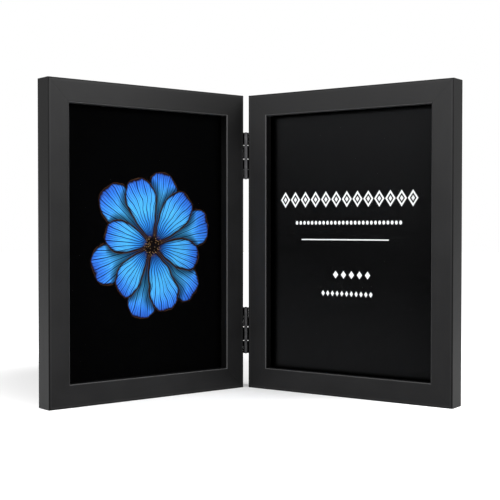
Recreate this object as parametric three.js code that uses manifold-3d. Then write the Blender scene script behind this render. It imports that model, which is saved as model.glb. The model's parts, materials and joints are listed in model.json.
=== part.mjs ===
import * as THREE from "three";
import { mergeVertices } from "three/addons/utils/BufferGeometryUtils.js";
import Module from "manifold-3d";

// A double picture frame in millimetres, +Z up: a left and a right frame, joined at their
// side edges by butt hinges, stand open like a book. Each frame is drawn flat in axes of
// its own and then swung about the hinge pins. There x runs across the frame from the pin
// axis, y from the pin axis to the back, and z up from the surface that it stands on.

// Print, glass and backing board
const PRINT_WIDTH = 127;
const PRINT_HEIGHT = 177.8;
const PRINT_THICKNESS = 0.4;
const GLASS_THICKNESS = 3;
const BOARD_THICKNESS = 3;

// Moulding of the rails and stiles
const RAIL_WIDTH = 14.6;
const LIP_DEPTH = 6;
const LIP_OVERLAP = 2.6;
const SIGHT_BEVEL = 0.8;
const EDGE_EASE = 0.3;

// Hinges
const HINGE_LENGTH = 32;
const UPPER_HINGE_INSET = 25.6;
const LOWER_HINGE_INSET = 23.9;
const KNUCKLE_SHARES = [0.284, 0.294, 0.214, 0.208];
const BARREL_RADIUS = 1.6;
const PLATE_THICKNESS = 0.7;
const PLATE_BACK_MARGIN = 1.3;
const PIN_RADIUS = 0.8;
const PIN_PROUD = 0.4;
const PIN_CHAMFER = 0.3;

// Hinge screws
const HINGE_SCREW_LENGTH = 9;
const HINGE_SCREW_RADIUS = 0.9;
const HINGE_SCREW_HEAD_RADIUS = 1.7;
const HINGE_SCREW_HEAD_RIM = 0.15;
const HINGE_SCREW_SPACING = 20;

// Turn buttons on the back, and their screws
const BUTTON_REACH = 14;
const BUTTON_WIDTH = 8;
const BUTTON_THICKNESS = 1;
const BUTTON_SPACING = 70;
const BUTTON_SCREW_LENGTH = 9;
const BUTTON_SCREW_RADIUS = 1.1;
const BUTTON_SCREW_HEAD_RADIUS = 2.6;
const BUTTON_SCREW_HEAD_HEIGHT = 1.3;

// Screw points and driver crosses
const SCREW_POINT = 2.5;
const CROSS_SPAN_SHARE = 0.65;
const CROSS_WIDTH = 0.4;
const CROSS_DEPTH = 0.5;

// V-shaped nails that hold the mitres from the back
const NAIL_LEG = 5;
const NAIL_THICKNESS = 0.6;
const NAIL_DEPTH = 8;
const NAIL_INSET = 4;

// Clearances
const SEAT_GAP = 0.3;
const PANEL_CLEARANCE = 0.5;
const MITRE_GAP = 0.3;
const RUNNING_GAP = 0.3;
const KNUCKLE_GAP = 0.8;
const CLOSED_FACE_GAP = 0.6;

// Pose: how far each frame is swung from flat
const HALF_FOLD_DEGREES = 37;

// Roundness of turned pieces, in sides
const BARREL_SIDES = 20;
const PIN_SIDES = 16;
const SCREW_SIDES = 12;
const BUTTON_END_STEPS = 6;

// Sizes that follow
const RABBET_WIDTH = PRINT_WIDTH + 2 * PANEL_CLEARANCE;
const RABBET_HEIGHT = PRINT_HEIGHT + 2 * PANEL_CLEARANCE;
const BACK_WIDTH = RAIL_WIDTH - LIP_OVERLAP;
const FRAME_WIDTH = RABBET_WIDTH + 2 * BACK_WIDTH;
const FRAME_HEIGHT = RABBET_HEIGHT + 2 * BACK_WIDTH;
const GLASS_FRONT = LIP_DEPTH + SEAT_GAP;
const PRINT_FRONT = GLASS_FRONT + GLASS_THICKNESS + SEAT_GAP;
const BOARD_FRONT = PRINT_FRONT + PRINT_THICKNESS + SEAT_GAP;
const RAIL_DEPTH = BOARD_FRONT + BOARD_THICKNESS + SEAT_GAP;
const FACE_Y = CLOSED_FACE_GAP / 2;
const BACK_Y = FACE_Y + RAIL_DEPTH;
const SIDE_EDGE_X = BARREL_RADIUS + SEAT_GAP;
const FRAME_CENTRE_X = SIDE_EDGE_X + FRAME_WIDTH / 2;
const FRAME_CENTRE_Z = FRAME_HEIGHT / 2;
const PLATE_INNER_X = BARREL_RADIUS - PLATE_THICKNESS;
const PLATE_BACK_Y = BACK_Y - PLATE_BACK_MARGIN;
const PLATE_FRONT_Y = BARREL_RADIUS + RUNNING_GAP;
const KNUCKLE_TOTAL = HINGE_LENGTH - (KNUCKLE_SHARES.length - 1) * KNUCKLE_GAP;
const HINGE_SCREW_Y = (PLATE_FRONT_Y + PLATE_BACK_Y) / 2;
const BUTTON_PIVOT_INSET = BACK_WIDTH / 2;
const BUTTON_FRONT_Y = BACK_Y + SEAT_GAP;
const BUTTON_HEAD_Y = BUTTON_FRONT_Y + BUTTON_THICKNESS + SEAT_GAP;

// Where the sub-assemblies go, by name
const HINGE_BASES = {
  upper: FRAME_HEIGHT - UPPER_HINGE_INSET - HINGE_LENGTH,
  lower: LOWER_HINGE_INSET,
};
const HINGE_SCREW_OFFSETS = {
  upper: HINGE_LENGTH / 2 + HINGE_SCREW_SPACING / 2,
  lower: HINGE_LENGTH / 2 - HINGE_SCREW_SPACING / 2,
};
const BUTTON_HEIGHTS = {
  upper: FRAME_CENTRE_Z + BUTTON_SPACING / 2,
  lower: FRAME_CENTRE_Z - BUTTON_SPACING / 2,
};
const LEFT = { name: "left", sign: -1 };
const RIGHT = { name: "right", sign: 1 };

const wasm = await Module();
wasm.setup();

// Materials
function finish(colour, roughness, metalness) {
  return new THREE.MeshStandardMaterial({ color: colour, roughness, metalness });
}

const FINISHES = {
  blackPaint: () => finish(0x2b2b2c, 0.55, 0),
  blackSteel: () => finish(0x1c1c1d, 0.35, 0.9),
  brightSteel: () => finish(0x9a9b9c, 0.35, 1),
  hardboard: () => finish(0x2a2624, 0.9, 0),
  darkPrint: () => finish(0x07080b, 0.6, 0),
  glass: () => {
    const glazing = finish(0xdfe6e6, 0.05, 0);
    glazing.transparent = true;
    glazing.opacity = 0.25;
    return glazing;
  },
};

// Joining and cutting of closed geometry
function toSolid(geometry) {
  const bare = geometry.clone();
  bare.deleteAttribute("normal");
  bare.deleteAttribute("uv");
  const merged = mergeVertices(bare);
  const mesh = new wasm.Mesh({
    numProp: 3,
    vertProperties: new Float32Array(merged.attributes.position.array),
    triVerts: new Uint32Array(merged.index.array),
  });
  return new wasm.Manifold(mesh);
}

function toGeometry(solid) {
  const mesh = solid.getMesh();
  const geometry = new THREE.BufferGeometry();
  geometry.setAttribute("position", new THREE.BufferAttribute(mesh.vertProperties, 3));
  geometry.setIndex(new THREE.BufferAttribute(mesh.triVerts, 1));
  geometry.computeVertexNormals();
  return geometry;
}

function cut(geometry, cutters) {
  return toGeometry(cutters.reduce((solid, cutter) => solid.subtract(toSolid(cutter)), toSolid(geometry)));
}

function join(pieces) {
  return toGeometry(pieces.map(toSolid).reduce((solid, piece) => solid.add(piece)));
}

// Simple shapes between named limits
function block(x, y, z) {
  const [[x0, x1], [y0, y1], [z0, z1]] = [x, y, z].map((span) => [Math.min(...span), Math.max(...span)]);
  const box = new THREE.BoxGeometry(x1 - x0, y1 - y0, z1 - z0);
  return box.translate((x0 + x1) / 2, (y0 + y1) / 2, (z0 + z1) / 2);
}

function upright(radius, z0, z1, sides) {
  const rod = new THREE.CylinderGeometry(radius, radius, z1 - z0, sides);
  return rod.rotateX(Math.PI / 2).translate(0, 0, (z0 + z1) / 2);
}

function turned(outline, sides) {
  const points = outline.map(([radius, height]) => new THREE.Vector2(radius, height));
  return new THREE.LatheGeometry(points, sides);
}

function outlineShape(points) {
  return new THREE.Shape(points.map(([x, y]) => new THREE.Vector2(x, y)));
}

// Turns a piece that is drawn along +Y so that it runs along a direction, and moves it.
function along(geometry, direction, x, y, z) {
  const turn = new THREE.Quaternion().setFromUnitVectors(new THREE.Vector3(0, 1, 0), direction);
  return geometry.applyQuaternion(turn).translate(x, y, z);
}

// One rail of the moulding, drawn with x from its outer edge inwards, y from its face to
// its back and z along it. Its ends are sheared to the mitres.
function mouldingProfile() {
  return outlineShape([
    [EDGE_EASE, 0],
    [RAIL_WIDTH - SIGHT_BEVEL, 0],
    [RAIL_WIDTH, SIGHT_BEVEL],
    [RAIL_WIDTH, LIP_DEPTH],
    [BACK_WIDTH, LIP_DEPTH],
    [BACK_WIDTH, RAIL_DEPTH],
    [EDGE_EASE, RAIL_DEPTH],
    [0, RAIL_DEPTH - EDGE_EASE],
    [0, EDGE_EASE],
  ]);
}

function mitredRail(length) {
  const rail = new THREE.ExtrudeGeometry(mouldingProfile(), { depth: length, bevelEnabled: false });
  const setback = MITRE_GAP / Math.SQRT2;
  const position = rail.attributes.position;
  for (let i = 0; i < position.count; i += 1) {
    const shear = position.getX(i) + setback;
    const startsHere = position.getZ(i) < length / 2;
    position.setZ(i, startsHere ? shear : length - shear);
  }
  return rail;
}

// Lays a rail with its outer edge at a corner of the frame and its width pointing inwards.
function placedRail(length, inwards, corner) {
  const toBack = new THREE.Vector3(0, 1, 0);
  const lengthwise = new THREE.Vector3().crossVectors(inwards, toBack);
  const place = new THREE.Matrix4().makeBasis(inwards, toBack, lengthwise);
  return mitredRail(length).applyMatrix4(place.setPosition(corner));
}

function railPlaces(side) {
  const hingeX = side.sign * SIDE_EDGE_X;
  const outerX = side.sign * (SIDE_EDGE_X + FRAME_WIDTH);
  const [lowX, highX] = [Math.min(hingeX, outerX), Math.max(hingeX, outerX)];
  const inFromHinge = new THREE.Vector3(side.sign, 0, 0);
  const inFromOuter = inFromHinge.clone().negate();
  const bottomOf = (x, inwards) => new THREE.Vector3(x, FACE_Y, inwards.x > 0 ? 0 : FRAME_HEIGHT);
  return {
    rail_top: [FRAME_WIDTH, new THREE.Vector3(0, 0, -1), new THREE.Vector3(lowX, FACE_Y, FRAME_HEIGHT)],
    rail_bottom: [FRAME_WIDTH, new THREE.Vector3(0, 0, 1), new THREE.Vector3(highX, FACE_Y, 0)],
    stile_outer: [FRAME_HEIGHT, inFromOuter, bottomOf(outerX, inFromOuter)],
    stile_hinge: [FRAME_HEIGHT, inFromHinge, bottomOf(hingeX, inFromHinge)],
  };
}

// V-shaped nail at a mitre, with its corner towards the frame's corner and a leg in each
// rail. The same outline with room round it is its slot.
function cornerNail(side, corner, room) {
  const half = NAIL_THICKNESS / 2 + room;
  const tip = NAIL_LEG + room;
  const angle = outlineShape([
    [-half, -half],
    [tip, -half],
    [tip, half],
    [half, half],
    [half, tip],
    [-half, tip],
  ]);
  const nail = new THREE.ExtrudeGeometry(angle, { depth: NAIL_DEPTH + 2 * room, bevelEnabled: false });
  const inX = corner.atHinge ? side.sign : -side.sign;
  const inZ = corner.atTop ? -1 : 1;
  const turns = Math.atan2(inZ, inX) - Math.PI / 4;
  const edgeX = corner.atHinge ? SIDE_EDGE_X : SIDE_EDGE_X + FRAME_WIDTH;
  const edgeZ = corner.atTop ? FRAME_HEIGHT : 0;
  nail.rotateZ(turns).rotateX(Math.PI / 2);
  const x = side.sign * edgeX + inX * NAIL_INSET;
  return nail.translate(x, BACK_Y + room, edgeZ + inZ * NAIL_INSET);
}

const CORNERS = {
  top_outer: { atTop: true, atHinge: false },
  top_hinge: { atTop: true, atHinge: true },
  bottom_outer: { atTop: false, atHinge: false },
  bottom_hinge: { atTop: false, atHinge: true },
};

// Screws, drawn along +Y with the point towards -Y, and the clearance holes for them.
// y = 0 is the face of a countersunk head and the underside of a pan head.
function driverCross(headRadius, top) {
  const span = headRadius * CROSS_SPAN_SHARE;
  const bottom = top - CROSS_DEPTH;
  const slit = [-CROSS_WIDTH / 2, CROSS_WIDTH / 2];
  return [
    block([-span, span], [bottom, top + CROSS_DEPTH], slit),
    block(slit, [bottom, top + CROSS_DEPTH], [-span, span]),
  ];
}

function countersunkScrew() {
  const neck = -HINGE_SCREW_HEAD_RIM - (HINGE_SCREW_HEAD_RADIUS - HINGE_SCREW_RADIUS);
  const body = turned([
    [0, -HINGE_SCREW_LENGTH],
    [HINGE_SCREW_RADIUS, SCREW_POINT - HINGE_SCREW_LENGTH],
    [HINGE_SCREW_RADIUS, neck],
    [HINGE_SCREW_HEAD_RADIUS, -HINGE_SCREW_HEAD_RIM],
    [HINGE_SCREW_HEAD_RADIUS, 0],
    [0, 0],
  ], SCREW_SIDES);
  return cut(body, driverCross(HINGE_SCREW_HEAD_RADIUS, 0));
}

function countersink() {
  const radius = HINGE_SCREW_RADIUS + RUNNING_GAP;
  const mouth = HINGE_SCREW_HEAD_RADIUS + RUNNING_GAP;
  const depth = HINGE_SCREW_HEAD_RIM + mouth - radius;
  return turned([
    [0, -HINGE_SCREW_LENGTH - SEAT_GAP],
    [radius, -HINGE_SCREW_LENGTH - SEAT_GAP],
    [radius, -depth],
    [mouth, -HINGE_SCREW_HEAD_RIM],
    [mouth, PLATE_THICKNESS],
    [0, PLATE_THICKNESS],
  ], SCREW_SIDES);
}

function panHeadScrew() {
  const shoulder = BUTTON_SCREW_HEAD_HEIGHT / 2;
  const body = turned([
    [0, -BUTTON_SCREW_LENGTH],
    [BUTTON_SCREW_RADIUS, SCREW_POINT - BUTTON_SCREW_LENGTH],
    [BUTTON_SCREW_RADIUS, 0],
    [BUTTON_SCREW_HEAD_RADIUS, 0],
    [BUTTON_SCREW_HEAD_RADIUS, shoulder],
    [BUTTON_SCREW_HEAD_RADIUS - shoulder, BUTTON_SCREW_HEAD_HEIGHT],
    [0, BUTTON_SCREW_HEAD_HEIGHT],
  ], SCREW_SIDES);
  return cut(body, driverCross(BUTTON_SCREW_HEAD_RADIUS, BUTTON_SCREW_HEAD_HEIGHT));
}

function buttonScrewHole() {
  const radius = BUTTON_SCREW_RADIUS + RUNNING_GAP;
  const hole = new THREE.CylinderGeometry(radius, radius, BUTTON_SCREW_LENGTH + SEAT_GAP, SCREW_SIDES);
  return hole.translate(0, -(BUTTON_SCREW_LENGTH + SEAT_GAP) / 2, 0);
}

// Screws and holes in their places
function placedHingeScrew(geometry, side, hinge, place) {
  const z = HINGE_BASES[hinge] + HINGE_SCREW_OFFSETS[place];
  const headwards = new THREE.Vector3(-side.sign, 0, 0);
  return along(geometry, headwards, side.sign * PLATE_INNER_X, HINGE_SCREW_Y, z);
}

function buttonPivotX(side, edge) {
  const inset = edge === "hinge" ? BUTTON_PIVOT_INSET : FRAME_WIDTH - BUTTON_PIVOT_INSET;
  return side.sign * (SIDE_EDGE_X + inset);
}

function placedButtonScrew(geometry, side, edge, height) {
  return geometry.translate(buttonPivotX(side, edge), BUTTON_HEAD_Y, BUTTON_HEIGHTS[height]);
}

// The four rails of one frame, with the slots for the nails and the holes for the screws
function rails(side) {
  const nailSlots = Object.values(CORNERS).map((corner) => cornerNail(side, corner, SEAT_GAP));
  const hingeHoles = Object.keys(HINGE_BASES).flatMap((hinge) => (
    Object.keys(HINGE_SCREW_OFFSETS).map((place) => placedHingeScrew(countersink(), side, hinge, place))));
  const buttonHoles = (edge) => Object.keys(BUTTON_HEIGHTS).map((height) => (
    placedButtonScrew(buttonScrewHole(), side, edge, height)));
  const cutters = {
    rail_top: nailSlots,
    rail_bottom: nailSlots,
    stile_outer: [...nailSlots, ...buttonHoles("outer")],
    stile_hinge: [...nailSlots, ...buttonHoles("hinge"), ...hingeHoles],
  };
  return Object.entries(railPlaces(side)).map(([name, place]) => (
    piece(`${side.name}_${name}`, cut(placedRail(...place), cutters[name]), FINISHES.blackPaint())));
}

// Flat panels that lie in the rabbet behind the lip
function panel(side, name, front, thickness, material) {
  const x = side.sign * FRAME_CENTRE_X;
  const sheet = block(
    [x - PRINT_WIDTH / 2, x + PRINT_WIDTH / 2],
    [FACE_Y + front, FACE_Y + front + thickness],
    [FRAME_CENTRE_Z - PRINT_HEIGHT / 2, FRAME_CENTRE_Z + PRINT_HEIGHT / 2],
  );
  return piece(`${side.name}_${name}`, sheet, material);
}

function panels(side) {
  return [
    panel(side, "glass", GLASS_FRONT, GLASS_THICKNESS, FINISHES.glass()),
    panel(side, "print", PRINT_FRONT, PRINT_THICKNESS, FINISHES.darkPrint()),
    panel(side, "backing_board", BOARD_FRONT, BOARD_THICKNESS, FINISHES.hardboard()),
  ];
}

function cornerNails(side) {
  return Object.entries(CORNERS).map(([name, corner]) => (
    piece(`${side.name}_corner_nail_${name}`, cornerNail(side, corner, 0), FINISHES.brightSteel())));
}

// Turn button: a tab with round ends that swings on its screw, drawn round its pivot and
// reaching over the board
function turnButton() {
  const radius = BUTTON_WIDTH / 2;
  const tab = new THREE.Shape();
  tab.absarc(0, 0, radius, Math.PI / 2, 3 * Math.PI / 2, false);
  tab.absarc(BUTTON_REACH - radius, 0, radius, -Math.PI / 2, Math.PI / 2, false);
  const hole = new THREE.Path();
  hole.absarc(0, 0, BUTTON_SCREW_RADIUS + RUNNING_GAP, 0, 2 * Math.PI, true);
  tab.holes.push(hole);
  const options = { depth: BUTTON_THICKNESS, bevelEnabled: false, curveSegments: BUTTON_END_STEPS };
  return new THREE.ExtrudeGeometry(tab, options).rotateX(Math.PI / 2).translate(0, BUTTON_THICKNESS, 0);
}

function turnButtonWithScrew(side, edge, height) {
  const reachesLeft = (edge === "outer") === (side.sign > 0);
  const tab = turnButton().rotateY(reachesLeft ? Math.PI : 0);
  tab.translate(buttonPivotX(side, edge), BUTTON_FRONT_Y, BUTTON_HEIGHTS[height]);
  const screw = placedButtonScrew(panHeadScrew(), side, edge, height);
  return [
    piece(`${side.name}_turn_button_${edge}_${height}`, tab, FINISHES.brightSteel()),
    piece(`${side.name}_button_screw_${edge}_${height}`, screw, FINISHES.brightSteel()),
  ];
}

function turnButtons(side) {
  return ["outer", "hinge"].flatMap((edge) => (
    Object.keys(BUTTON_HEIGHTS).flatMap((height) => turnButtonWithScrew(side, edge, height))));
}

// The knuckles of a hinge as [bottom, top] spans above its foot, from the top down. The
// lower hinge is turned over, so its longer knuckles are at the bottom.
function knuckleSpans(hinge) {
  const shares = hinge === "upper" ? KNUCKLE_SHARES : KNUCKLE_SHARES.toReversed();
  let top = HINGE_LENGTH;
  return shares.map((share) => {
    const span = [top - share * KNUCKLE_TOTAL, top];
    top = span[0] - KNUCKLE_GAP;
    return span;
  });
}

// Butt hinge: a plate on each frame's side edge, with every other knuckle, and a pin
function hingePlate(side, hinge) {
  const span = [side.sign * PLATE_INNER_X, side.sign * BARREL_RADIUS];
  const firstKnuckle = side.sign < 0 ? 0 : 1;
  const solids = [block(span, [PLATE_FRONT_Y, PLATE_BACK_Y], [0, HINGE_LENGTH])];
  const ownKnuckles = knuckleSpans(hinge).filter((_, i) => i % 2 === firstKnuckle);
  ownKnuckles.forEach(([bottom, top]) => {
    solids.push(upright(BARREL_RADIUS, bottom, top, BARREL_SIDES));
    solids.push(block(span, [0, PLATE_FRONT_Y + PLATE_THICKNESS], [bottom, top]));
  });
  const bore = upright(PIN_RADIUS + RUNNING_GAP, -PIN_PROUD, HINGE_LENGTH + PIN_PROUD, BARREL_SIDES);
  const plate = join(solids).translate(0, 0, HINGE_BASES[hinge]);
  const sinks = Object.keys(HINGE_SCREW_OFFSETS).map((place) => (
    placedHingeScrew(countersink(), side, hinge, place)));
  const drilled = cut(plate, [bore.translate(0, 0, HINGE_BASES[hinge]), ...sinks]);
  return piece(`${hinge}_hinge_plate_${side.name}`, drilled, FINISHES.blackSteel());
}

function hingeScrews(side, hinge) {
  return Object.keys(HINGE_SCREW_OFFSETS).map((place) => piece(
    `${hinge}_hinge_screw_${side.name}_${place}`,
    placedHingeScrew(countersunkScrew(), side, hinge, place),
    FINISHES.blackSteel(),
  ));
}

function hingePin(hinge) {
  const pin = turned([
    [0, -PIN_PROUD],
    [PIN_RADIUS - PIN_CHAMFER, -PIN_PROUD],
    [PIN_RADIUS, PIN_CHAMFER - PIN_PROUD],
    [PIN_RADIUS, HINGE_LENGTH + PIN_PROUD - PIN_CHAMFER],
    [PIN_RADIUS - PIN_CHAMFER, HINGE_LENGTH + PIN_PROUD],
    [0, HINGE_LENGTH + PIN_PROUD],
  ], PIN_SIDES);
  pin.rotateX(Math.PI / 2).translate(0, 0, HINGE_BASES[hinge]);
  return piece(`${hinge}_hinge_pin`, pin, FINISHES.blackSteel());
}

// Assembly
function piece(name, geometry, material) {
  const mesh = new THREE.Mesh(geometry, material);
  mesh.name = name;
  return mesh;
}

function pictureFrame(side) {
  const hinges = Object.keys(HINGE_BASES);
  const leaf = new THREE.Group();
  leaf.add(...rails(side), ...panels(side), ...cornerNails(side), ...turnButtons(side));
  leaf.add(...hinges.map((hinge) => hingePlate(side, hinge)));
  leaf.add(...hinges.flatMap((hinge) => hingeScrews(side, hinge)));
  leaf.rotation.z = -side.sign * THREE.MathUtils.degToRad(HALF_FOLD_DEGREES);
  return leaf;
}

// The origin is the middle of the footprint, on the surface that the frames stand on.
const doubleFrame = new THREE.Group();
doubleFrame.add(pictureFrame(LEFT), pictureFrame(RIGHT), ...Object.keys(HINGE_BASES).map(hingePin));
const footprint = new THREE.Box3().setFromObject(doubleFrame, true);
const middle = footprint.getCenter(new THREE.Vector3());
doubleFrame.position.set(-middle.x, -middle.y, -footprint.min.z);

export default doubleFrame;
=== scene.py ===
"""The looks of a double picture frame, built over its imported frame.

Two glazed frames, joined at their side edges by butt hinges, stand open like a book. Pieces
are drawn in millimetres in the axes of one leaf: x runs across the leaf from the pin axis,
y from the pin axis to the back, and z up from the surface that it stands on. One matrix then
swings a piece about the pins and brings it to metres in the row frame. Both leaves are drawn
as the right one, and the left one is its mirror image, apart from the two prints.
"""

import json
import logging
import math
from collections.abc import Callable, Iterator, Sequence
from dataclasses import dataclass
from enum import Enum
from typing import Union

import bmesh
import bpy
from bmesh.types import BMEdge, BMesh, BMVert
from bpy.types import ID, Material, Node, NodeSocket, Object, World
from mathutils import Matrix, Vector


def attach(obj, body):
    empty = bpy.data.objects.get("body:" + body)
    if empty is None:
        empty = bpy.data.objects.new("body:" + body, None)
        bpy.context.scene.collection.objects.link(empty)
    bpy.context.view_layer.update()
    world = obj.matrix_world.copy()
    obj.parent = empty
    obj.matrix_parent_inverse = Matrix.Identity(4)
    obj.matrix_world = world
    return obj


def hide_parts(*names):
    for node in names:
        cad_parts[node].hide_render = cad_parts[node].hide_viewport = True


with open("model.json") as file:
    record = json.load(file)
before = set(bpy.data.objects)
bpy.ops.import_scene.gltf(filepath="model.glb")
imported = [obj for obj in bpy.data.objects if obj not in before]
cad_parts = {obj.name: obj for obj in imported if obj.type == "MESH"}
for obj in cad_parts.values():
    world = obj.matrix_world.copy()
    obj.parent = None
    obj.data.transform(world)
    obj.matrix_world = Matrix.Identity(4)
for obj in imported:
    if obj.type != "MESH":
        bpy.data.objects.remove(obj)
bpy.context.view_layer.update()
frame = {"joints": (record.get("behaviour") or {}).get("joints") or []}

MM = 0.001
MERGE_DISTANCE = 1e-4
SHARP_ANGLE = math.radians(38)
CREASE_ANGLE = math.radians(30)
ROUND_WORK_CREASE = math.radians(50)
FLAT_ANGLE = math.radians(0.05)
FULL_TURN = 2 * math.pi
QUARTER_TURN = math.pi / 2
HOLE_SIDES = 16

Triple = tuple[float, float, float]
Colour = Triple
Point = tuple[float, float]
Feed = Union["Value", NodeSocket, float, Sequence[float]]

log = logging.getLogger("double_frame")


class Named(Enum):
    """A choice whose name is part of the names of nodes."""

    @property
    def label(self) -> str:
        """The name in small letters."""
        return self.name.lower()


class Side(Named):
    """A leaf of the double frame, with the sign of its local x."""

    LEFT = -1
    RIGHT = 1


class Edge(Named):
    """An upright edge of the right leaf, with the sign of the way inwards along x."""

    OUTER = -1
    HINGE = 1


class Level(Named):
    """The higher or the lower one of two pieces, with the sign of its z."""

    UPPER = 1
    LOWER = -1


class Run(Named):
    """The way that a rail's grain runs, by the local axis that it is drawn out along."""

    ACROSS = 0
    UPRIGHT = 2


@dataclass(frozen=True)
class LeafAxes:
    """The drawing axes of one leaf and their place in the row frame."""

    side: Side
    pin: Vector
    turn: float

    @classmethod
    def read(cls, side: Side, joints: list[dict]) -> "LeafAxes":
        """Finds a leaf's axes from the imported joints.

        Args:
            side: The leaf.
            joints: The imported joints, with the fold and the turn buttons among them.

        Returns:
            The axes of that leaf.
        """
        by_name = {joint["name"]: joint for joint in joints}
        backwards = by_name[f"{side.label}_turn_outer_upper"]["axis"]
        pin = Vector(by_name["fold"]["pos_m"])
        return cls(side, pin, math.atan2(-backwards[0], backwards[1]))

    @property
    def body(self) -> str:
        """The body that the leaf's frame is."""
        return f"{self.side.label}_frame"

    @property
    def to_row(self) -> Matrix:
        """Leaf millimetres to metres in the row frame."""
        turned_leaf = Matrix.Rotation(self.turn, 4, "Z") @ Matrix.Scale(MM, 4)
        return Matrix.Translation(self.pin) @ turned_leaf

    @property
    def mirrored_to_row(self) -> Matrix:
        """The same for what is drawn as a piece of the right leaf."""
        return self.to_row @ Matrix.Scale(self.side.value, 4, Vector((1, 0, 0)))


@dataclass(frozen=True)
class LeafSizes:
    """Sizes that the pieces of a leaf share, in millimetres."""

    side_edge: float = 1.9
    width: float = 152.0
    height: float = 202.8
    face: float = 0.3
    back: float = 13.9
    rail_width: float = 14.6
    rail_back_width: float = 12.0
    lip_depth: float = 6.0
    print_width: float = 127.0
    print_height: float = 177.8

    @property
    def centre_x(self) -> float:
        """The upright middle line of the leaf."""
        return self.side_edge + self.width / 2

    @property
    def centre_z(self) -> float:
        """Half the height of the leaf."""
        return self.height / 2

    @property
    def depth(self) -> float:
        """The depth of the rails."""
        return self.back - self.face

    def inside(self, edge: Edge, inset: float) -> float:
        """The x of a line that runs inside an upright edge, by how far inside it runs."""
        start = self.side_edge + (self.width if edge is Edge.OUTER else 0.0)
        return start + edge.value * inset


LEAF = LeafSizes()


# Drawing in millimetres


def flat(points: Sequence[Point]) -> BMesh:
    """Starts a mesh from one flat face.

    Args:
        points: The corners of the face in its plane, in order.

    Returns:
        A mesh of that face at z = 0.
    """
    mesh = bmesh.new()
    mesh.faces.new([mesh.verts.new((x, y, 0.0)) for x, y in points])
    return mesh


def bevelled(mesh: BMesh, geom: Sequence, width: float, segments: int,
             affect: str = "EDGES", clamp: bool = True) -> BMesh:
    """Bevels edges or corners.

    Args:
        mesh: The mesh that they are in.
        geom: The edges or corners.
        width: How far from them the bevel starts.
        segments: How many faces or edges each bevel gets.
        affect: What is bevelled.
        clamp: Whether bevels stop where they meet.

    Returns:
        The same mesh.
    """
    bmesh.ops.bevel(
        mesh, geom=geom, offset=width, offset_type="OFFSET", affect=affect,
        segments=segments, profile=0.5, material=-1, clamp_overlap=clamp)
    return mesh


def round_corners(mesh: BMesh, radii: dict[int, float], segments: int) -> None:
    """Rounds corners of a flat face.

    Args:
        mesh: A mesh of one face.
        radii: How far from a corner its rounding starts, by the corner's number.
        segments: How many edges each rounding gets.
    """
    mesh.verts.ensure_lookup_table()
    corners = [(mesh.verts[number], radius) for number, radius in radii.items()]
    for corner, radius in corners:
        bevelled(mesh, [corner], radius, segments, "VERTICES", clamp=False)
    bmesh.ops.remove_doubles(mesh, verts=mesh.verts, dist=MERGE_DISTANCE)


def raise_flat(mesh: BMesh, height: float) -> BMesh:
    """Draws flat faces up into a solid.

    Args:
        mesh: Faces at z = 0.
        height: The solid's height.

    Returns:
        The same mesh.
    """
    made = bmesh.ops.extrude_face_region(mesh, geom=list(mesh.faces))
    lifted = [item for item in made["geom"] if isinstance(item, BMVert)]
    bmesh.ops.translate(mesh, vec=(0, 0, height), verts=lifted)
    return closed(mesh)


def closed(mesh: BMesh) -> BMesh:
    """Merges doubles and turns the faces outwards.

    Args:
        mesh: The mesh.

    Returns:
        The same mesh.
    """
    bmesh.ops.remove_doubles(mesh, verts=mesh.verts, dist=MERGE_DISTANCE)
    bmesh.ops.recalc_face_normals(mesh, faces=mesh.faces)
    return mesh


def slab(x: Point, y: Point, z: Point) -> BMesh:
    """Makes a block.

    Args:
        x: Its two limits along x.
        y: Its limits along y.
        z: Its limits along z.

    Returns:
        The solid.
    """
    middle = Vector([sum(span) / 2 for span in (x, y, z)])
    size = Matrix.Diagonal([abs(span[1] - span[0]) for span in (x, y, z)]).to_4x4()
    mesh = bmesh.new()
    bmesh.ops.create_cube(mesh, size=1, matrix=Matrix.Translation(middle) @ size)
    return mesh


def turned(outline: Sequence[Point], sides: int) -> BMesh:
    """Spins an outline about the z axis into a closed solid.

    Args:
        outline: Points of radius and height, from one end on the axis to the other.
        sides: How many steps the full turn takes.

    Returns:
        The solid.
    """
    mesh = bmesh.new()
    verts = [mesh.verts.new((radius, 0.0, height)) for radius, height in outline]
    edges = [mesh.edges.new(pair) for pair in zip(verts, verts[1:])]
    bmesh.ops.spin(
        mesh, geom=verts + edges, cent=(0, 0, 0), axis=(0, 0, 1), dvec=(0, 0, 0),
        angle=FULL_TURN, steps=sides, use_merge=True)
    return closed(mesh)


def soften(mesh: BMesh, width: float, segments: int = 2, sharper: float = CREASE_ANGLE) -> BMesh:
    """Eases the sharp edges of a solid.

    Args:
        mesh: The solid.
        width: The width of the easing.
        segments: How many faces it gets.
        sharper: Only edges with a larger angle than this are eased.

    Returns:
        The same mesh.
    """
    creases = [edge for edge in mesh.edges if edge.calc_face_angle(0.0) > sharper]
    return bevelled(mesh, creases, width, segments)


def moved(mesh: BMesh, place: Matrix) -> BMesh:
    """Puts a mesh in its place and keeps its faces outwards."""
    bmesh.ops.transform(mesh, matrix=place, verts=mesh.verts)
    return closed(mesh)


def aimed(direction: Triple, place: Vector) -> Matrix:
    """Turns +Z to a direction and moves the origin to a place."""
    turn = Vector((0, 0, 1)).rotation_difference(Vector(direction)).to_matrix().to_4x4()
    return Matrix.Translation(place) @ turn


def placed(name: str, data: ID) -> Object:
    """Makes an object of a mesh, a lamp or a camera and puts it in the scene.

    Args:
        name: The object's name.
        data: What it is made of.

    Returns:
        The object.
    """
    made = bpy.data.objects.new(name, data)
    bpy.context.scene.collection.objects.link(made)
    return made


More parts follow.
